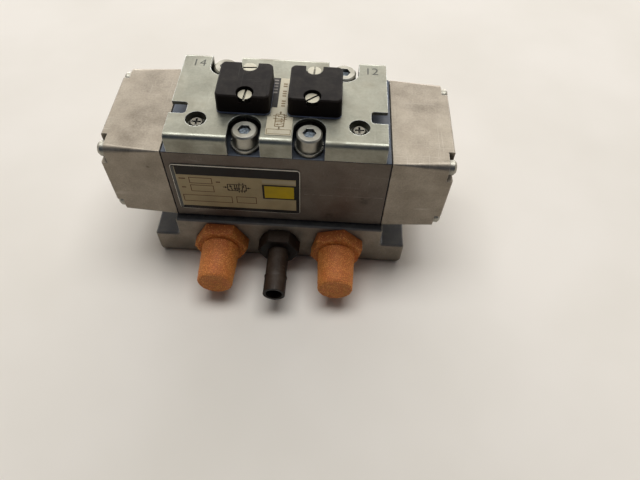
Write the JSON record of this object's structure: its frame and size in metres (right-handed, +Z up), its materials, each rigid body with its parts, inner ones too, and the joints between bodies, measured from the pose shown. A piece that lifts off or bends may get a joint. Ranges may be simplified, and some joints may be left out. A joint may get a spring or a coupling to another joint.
{
  "type": "directional control valve",
  "caption": "Air-piloted five-port directional control valve with a spool in a body between two end caps, screwed onto a side-ported sub-base with silencers and a hose barb.",
  "frame": {"origin": "middle of the sub-base's foot", "axes": "+X along the spool towards the end marked 12, -Y the face with silencers, +Z up from the foot"},
  "size_m": [0.1818, 0.1087, 0.104],
  "materials": {
    "base_casting": "cast, dull with age",
    "body_casting": "cast, machined flat, dull",
    "cap_casting": "cast, tumbled, satin",
    "turned_aluminium": "turned and anodised",
    "brass_sleeve": "turned",
    "zinc_sheet": "zinc plated and passivated, satin",
    "zinc_screws": "zinc plated steel",
    "black_plastic": "moulded, fine grain",
    "barb_plastic": "moulded",
    "piston_plastic": "turned acetal",
    "cage_plastic": "moulded",
    "seal_rubber": "matt",
    "gasket_fibre": "matt",
    "pilot_gasket": "matt, blue-grey",
    "sintered_bronze": "sintered, grainy and dull",
    "nameplate_metal": "printed sheet",
    "label_film": "printed film"
  },
  "bodies": {
    "valve": {"sub_base": "base_casting", "base_gasket": "gasket_fibre", "valve_body": "body_casting", "spool_seal_1": "seal_rubber", "spool_seal_2": "seal_rubber", "spool_seal_3": "seal_rubber", "spool_seal_4": "seal_rubber", "spool_seal_5": "seal_rubber", "spool_seal_6": "seal_rubber", "seal_cage_1": "cage_plastic", "seal_cage_2": "cage_plastic", "seal_cage_3": "cage_plastic", "seal_cage_4": "cage_plastic", "seal_cage_5": "cage_plastic", "left_end_sleeve": "brass_sleeve", "right_end_sleeve": "brass_sleeve", "left_end_cap": "cap_casting", "right_end_cap": "cap_casting", "left_cap_gasket": "gasket_fibre", "right_cap_gasket": "gasket_fibre", "left_cushion_ring": "seal_rubber", "right_cushion_ring": "seal_rubber", "left_cap_screws": "zinc_screws", "right_cap_screws": "zinc_screws", "cover_plate": "zinc_sheet", "cover_plate_screws": "zinc_screws", "front_mounting_screws": "zinc_screws", "front_spring_washers": "zinc_screws", "rear_mounting_screws": "zinc_screws", "rear_spring_washers": "zinc_screws", "left_pilot_cover": "black_plastic", "right_pilot_cover": "black_plastic", "left_pilot_gasket": "pilot_gasket", "right_pilot_gasket": "pilot_gasket", "left_pilot_cover_screws": "zinc_screws", "right_pilot_cover_screws": "zinc_screws", "left_silencer": "sintered_bronze", "right_silencer": "sintered_bronze", "hose_barb": "barb_plastic", "nameplate": "nameplate_metal", "plate_label": "label_film"},
    "spool_assembly": {"spool": "turned_aluminium", "left_piston": "piston_plastic", "right_piston": "piston_plastic", "left_piston_seal": "seal_rubber", "right_piston_seal": "seal_rubber"}
  },
  "joints": [
    {"name": "spool_slide", "type": "slide", "parent": "valve", "child": "spool_assembly", "axis": [1, 0, 0], "range_m": [0, 0.008]}
  ]
}
